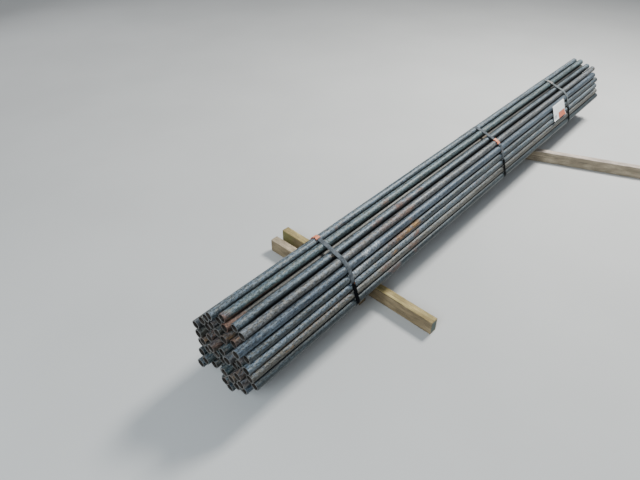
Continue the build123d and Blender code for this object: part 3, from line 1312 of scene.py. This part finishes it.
@dataclass
class LabelTag:
    """The plain label over the right shoulder of the bundle, slightly lifted at its edges.

    Places on the sheet are shares of its width and of its height, from its upper near corner.
    """

    axes: tuple[Axis, ...]
    finish: TagSheet = field(default_factory=TagSheet)
    pipe: str = "right_pipe_1"
    radius: float = PIPE_RADIUS
    gap: float = STRAP_GAP
    thickness: float = 0.0006
    height: float = 0.090
    columns: int = 40
    row_every: float = 0.002
    curl: float = 0.0045
    curl_from: Pair = (0.72, 0.8)
    ripple: float = 0.0009
    ripples: Triple = (5.0, 4.0, 3.0)
    block_from: Pair = (0.46, 0.60)
    block_to: Pair = (0.98, 1.0)
    mark_from: Pair = (0.08, 0.62)
    mark_to: Pair = (0.30, 0.90)

    def rise(self, u: float, v: float) -> float:
        """How far the sheet stands off the pipes, by its curled edges and its ripples.

        Args:
            u: Place across the sheet.
            v: Place down the sheet.

        Returns:
            The distance.
        """
        side_from, foot_from = self.curl_from
        side = max(0.0, abs(2 * u - 1) - side_from) / (1 - side_from)
        foot = max(0.0, v - foot_from) / (1 - foot_from)
        across, down, layer = self.ripples
        wave = noise.noise(Vector((u * across, v * down, layer))) + 0.5
        return self.curl * (side + foot) ** 2 / 2 + self.ripple * max(0.0, wave)

    @staticmethod
    def within(u: np.ndarray, v: np.ndarray, low: Pair, high: Pair) -> np.ndarray:
        """Which places lie between two corners of a rectangle."""
        return (u > low[0]) & (u < high[0]) & (v > low[1]) & (v < high[1])

    def build(self) -> None:
        """Make the sheet."""
        low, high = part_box("label_tag")
        width = high.x - low.x
        girth = Girth(self.axes, side_step=self.row_every)
        parts = girth.stretch(self.pipe, self.radius + self.gap, self.height)
        points, normals, share = (part[::-1] for part in parts)
        columns = np.linspace(0, 1, self.columns + 1)
        outside, inside = (
            np.array([
                [(low.x + u * width, *(point + normal * (level + self.rise(u, v)))) for u in columns]
                for point, normal, v in zip(points, normals, share)
            ])
            for level in (self.thickness, 0.0)
        )
        rows = np.concatenate([outside, inside[::-1]])
        u = np.tile(columns, (len(rows), 1))
        v = np.concatenate([share, share[::-1]])[:, None] * np.ones_like(u)
        outer = (np.arange(len(rows)) < len(points))[:, None] * np.ones_like(u)
        grid = Grid()
        grid.add(
            rows, loops=True, across=False,
            surface=np.stack([u * width, v * self.height, outer], axis=-1),
            block=outer * self.within(u, v, self.block_from, self.block_to),
            mark=outer * self.within(u, v, self.mark_from, self.mark_to),
        )
        obj = grid.piece("dressed_label_tag", self.finish.material())
        hand_over(obj, "label_tag")


@dataclass
class Bearer:
    """One sawn timber, with a rough face and worn edges."""

    node: str
    finish: SawnTimber
    skew: float
    moss_left: float = 0.0
    paint_right: float = 0.0
    width: float = 0.038
    height: float = 0.064
    edge: float = 0.002
    wear: float = 0.0012
    rough_share: float = 0.35
    face_share: float = 0.15
    corner_reach: Pair = (0.004, 0.006)
    foot: float = 0.004
    rough_cells: Pair = (9.0, 160.0)
    wear_cells: Pair = (30.0, 60.0)
    every: float = 0.008
    section_every: float = 0.003
    end_rings: tuple[float, ...] = (0.35, 0.7, 1.0)
    moss_reach: float = 0.26
    paint_reach: float = 0.001
    seed: int = 1

    def section(self) -> list[Pair]:
        """Outline of the timber's section.

        Returns:
            Points across the timber and up from its underside.
        """
        half, top, edge = self.width / 2, self.height, self.edge
        corners = [
            (edge - half, 0), (half - edge, 0), (half, edge), (half, top - edge),
            (half - edge, top), (edge - half, top), (-half, top - edge), (-half, edge),
        ]
        points: list[Pair] = []
        for (ax, az), (bx, bz) in zip(corners, corners[1:] + corners[:1]):
            steps = max(1, round(math.hypot(bx - ax, bz - az) / self.section_every))
            points += [(ax + (bx - ax) * i / steps, az + (bz - az) * i / steps) for i in range(steps)]
        return points

    def rows(self, length: float) -> list[Triple]:
        """Rings of points from end to end, closed over both ends.

        Args:
            length: Length of the timber.

        Returns:
            Place of each ring along the timber, its size as a share, and 1 where it is on an end.
        """
        along = np.linspace(-length / 2, length / 2, int(length / self.every) + 1)
        first = [(along[0], 1 - inset, 1.0) for inset in reversed(self.end_rings)]
        last = [(along[-1], 1 - inset, 1.0) for inset in self.end_rings]
        return first + [(place, 1.0, 0.0) for place in along] + last

    def worn(self, place: float, u: float, w: float) -> Pair:
        """Move a point of the section inwards, most where it lies near a corner.

        Args:
            place: Place along the timber.
            u: Place across it.
            w: Height above its underside.

        Returns:
            The new place across and the new height.
        """
        half_width, half_height = self.width / 2, self.height / 2
        along, across = self.rough_cells
        rough = noise.noise(Vector((place * along, u * across, w * across + self.seed * 7)))
        along, across = self.wear_cells
        worn = noise.noise(Vector((place * along, u * across + self.seed * 5, w * across)))
        side, level = self.corner_reach
        corner = abs(abs(u) - half_width) < side and (w > self.height - level or w < level)
        share = 1.0 if corner else self.face_share
        pull = self.wear * (self.rough_share * abs(rough) + share * max(0.0, worn))
        if w > self.foot:
            w = half_height + (w - half_height) * (1 - pull / half_height)
        return u * (1 - pull / half_width), w

    def build(self) -> None:
        """Make the timber."""
        low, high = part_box(self.node)
        middle, angle = (low + high) / 2, math.radians(self.skew)
        sine, cosine = math.sin(angle), math.cos(angle)
        length = ((high.y - low.y) - self.width * abs(sine)) / cosine
        section, rows = self.section(), self.rows(length)
        table = np.zeros((len(rows), len(section), 3))
        surface = np.zeros_like(table)
        for i, (place, size, _) in enumerate(rows):
            for j, (u, w) in enumerate(section):
                w = self.height / 2 + (w - self.height / 2) * size
                u, w = self.worn(place, u * size, w)
                x = middle.x + u * cosine - place * sine
                table[i, j] = (x, middle.y + u * sine + place * cosine, w)
                surface[i, j] = (place + self.seed * 3, u, w)
        ones = np.ones(table.shape[:2])
        places, _, ends = (np.array(column)[:, None] * ones for column in zip(*rows))
        moss = np.clip(1 - (length / 2 - places) / self.moss_reach, 0, 1) * self.moss_left
        paint = (places < self.paint_reach - length / 2) * ends * self.paint_right
        grid = Grid()
        grid.add(
            table[::-1], loops=False, across=True,
            surface=surface[::-1], end=ends[::-1], moss=moss[::-1], paint=paint[::-1],
        )
        obj = grid.piece(f"dressed_{self.node}", self.finish.material())
        hand_over(obj, self.node)


@dataclass(frozen=True)
class Lamp:
    """One soft square light: where it hangs, its side, its power in watts and its colour."""

    name: str
    place: Triple
    size: float
    power: float
    colour: Colour


@dataclass
class Studio:
    """Floor, lights and camera."""

    camera_from_end: Triple = (-0.644, -0.885, 1.225)
    focal_pixels: float = 520.0
    picture_width: float = 640.0
    sensor: float = 36.0
    pitch_down: float = 38.36
    heading: float = 41.3
    roll: float = 0.2
    clip_end: float = 200.0
    floor_size: float = 60.0
    lit: Triple = (0.0, 0.0, 0.2)
    air: Colour = (0.86, 0.92, 1.0)
    air_strength: float = 0.27
    lamps: tuple[Lamp, ...] = (
        Lamp("sky", (2.2, -0.27, 3.5), 1.0, 244.0, (0.985, 0.995, 0.965)),
        Lamp("fill", (-4.4, -0.7, 3.3), 2.4, 136.0, (0.84, 0.96, 1.04)),
        Lamp("back", (-0.5, 4.5, 2.2), 3.0, 26.0, (0.94, 0.97, 1.0)),
    )

    def floor(self) -> None:
        """Lay the floor."""
        bpy.ops.mesh.primitive_plane_add(size=self.floor_size, location=(0, 0, 0))
        floor = bpy.context.object
        floor.name = "floor"
        floor.data.materials.append(PaleFloor().material())

    def light(self, lamp: Lamp) -> None:
        """Hang one light that faces the bundle.

        Args:
            lamp: The light.
        """
        data = bpy.data.lights.new(lamp.name, "AREA")
        data.shape = "SQUARE"
        data.size = lamp.size
        data.energy = lamp.power
        data.color = lamp.colour
        obj = bpy.data.objects.new(lamp.name, data)
        obj.location = lamp.place
        ray = Vector(self.lit) - Vector(lamp.place)
        obj.rotation_euler = ray.to_track_quat("-Z", "Y").to_euler()
        bpy.context.scene.collection.objects.link(obj)

    def world(self) -> None:
        """Set an even, dim surrounding light."""
        world = bpy.data.worlds.new("studio")
        world.use_nodes = True
        background = world.node_tree.nodes["Background"]
        background.inputs["Color"].default_value = (*self.air, 1.0)
        background.inputs["Strength"].default_value = self.air_strength
        bpy.context.scene.world = world

    def camera(self, near_end: Vector) -> None:
        """Set the camera at the photograph's place and angle.

        Args:
            near_end: Middle of the near end of the fifth pipe of the top course.
        """
        data = bpy.data.cameras.new("camera")
        data.sensor_width = self.sensor
        data.lens = self.focal_pixels / self.picture_width * self.sensor
        data.clip_end = self.clip_end
        camera = bpy.data.objects.new("camera", data)
        camera.location = near_end + Vector(self.camera_from_end)
        aim = Euler((math.radians(90 - self.pitch_down), 0.0, math.radians(self.heading - 90)))
        turn = Matrix.Rotation(math.radians(self.roll), 3, "Z")
        camera.rotation_euler = (aim.to_matrix() @ turn).to_euler()
        bpy.context.scene.collection.objects.link(camera)
        bpy.context.scene.camera = camera

    def build(self, near_end: Vector) -> None:
        """Build the whole studio.

        Args:
            near_end: Middle of the near end of the fifth pipe of the top course.
        """
        self.floor()
        self.world()
        for lamp in self.lamps:
            self.light(lamp)
        self.camera(near_end)


def main() -> None:
    """Build and dress the whole bundle."""
    logging.basicConfig(level=logging.INFO, format="%(name)s %(message)s")
    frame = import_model()
    nodes = frame["nodes"]
    axes = pipe_axes(nodes)
    LOG.info("%d pipes in the frame", len(axes))
    PipeStock(axes).build()
    Strapping(nodes, tuple(axes)).build()
    LabelTag(tuple(axes)).build()

    yellow = SawnTimber(
        Timber.YELLOW, early=(0.54, 0.43, 0.19), late=(0.40, 0.29, 0.13), side=(0.30, 0.225, 0.13),
    )
    pale = SawnTimber(
        Timber.PALE, early=(0.62, 0.50, 0.36), late=(0.48, 0.37, 0.24), side=(0.30, 0.23, 0.14),
    )
    silver = SawnTimber(
        Timber.SILVER, early=(0.68, 0.57, 0.48), late=(0.54, 0.45, 0.37), side=(0.34, 0.28, 0.20),
    )
    Bearer("bearer_near", yellow, -2.7, moss_left=0.8, paint_right=1.0, seed=1).build()
    Bearer("bearer_near_short", pale, -1.0, moss_left=0.3, seed=2).build()
    Bearer("bearer_far", silver, 20.6, seed=3).build()

    low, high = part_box("top_pipe_5")
    near_end = Vector((low.x, (low.y + high.y) / 2, (low.z + high.z) / 2))
    Studio().build(near_end)


if __name__ == "__main__":
    main()
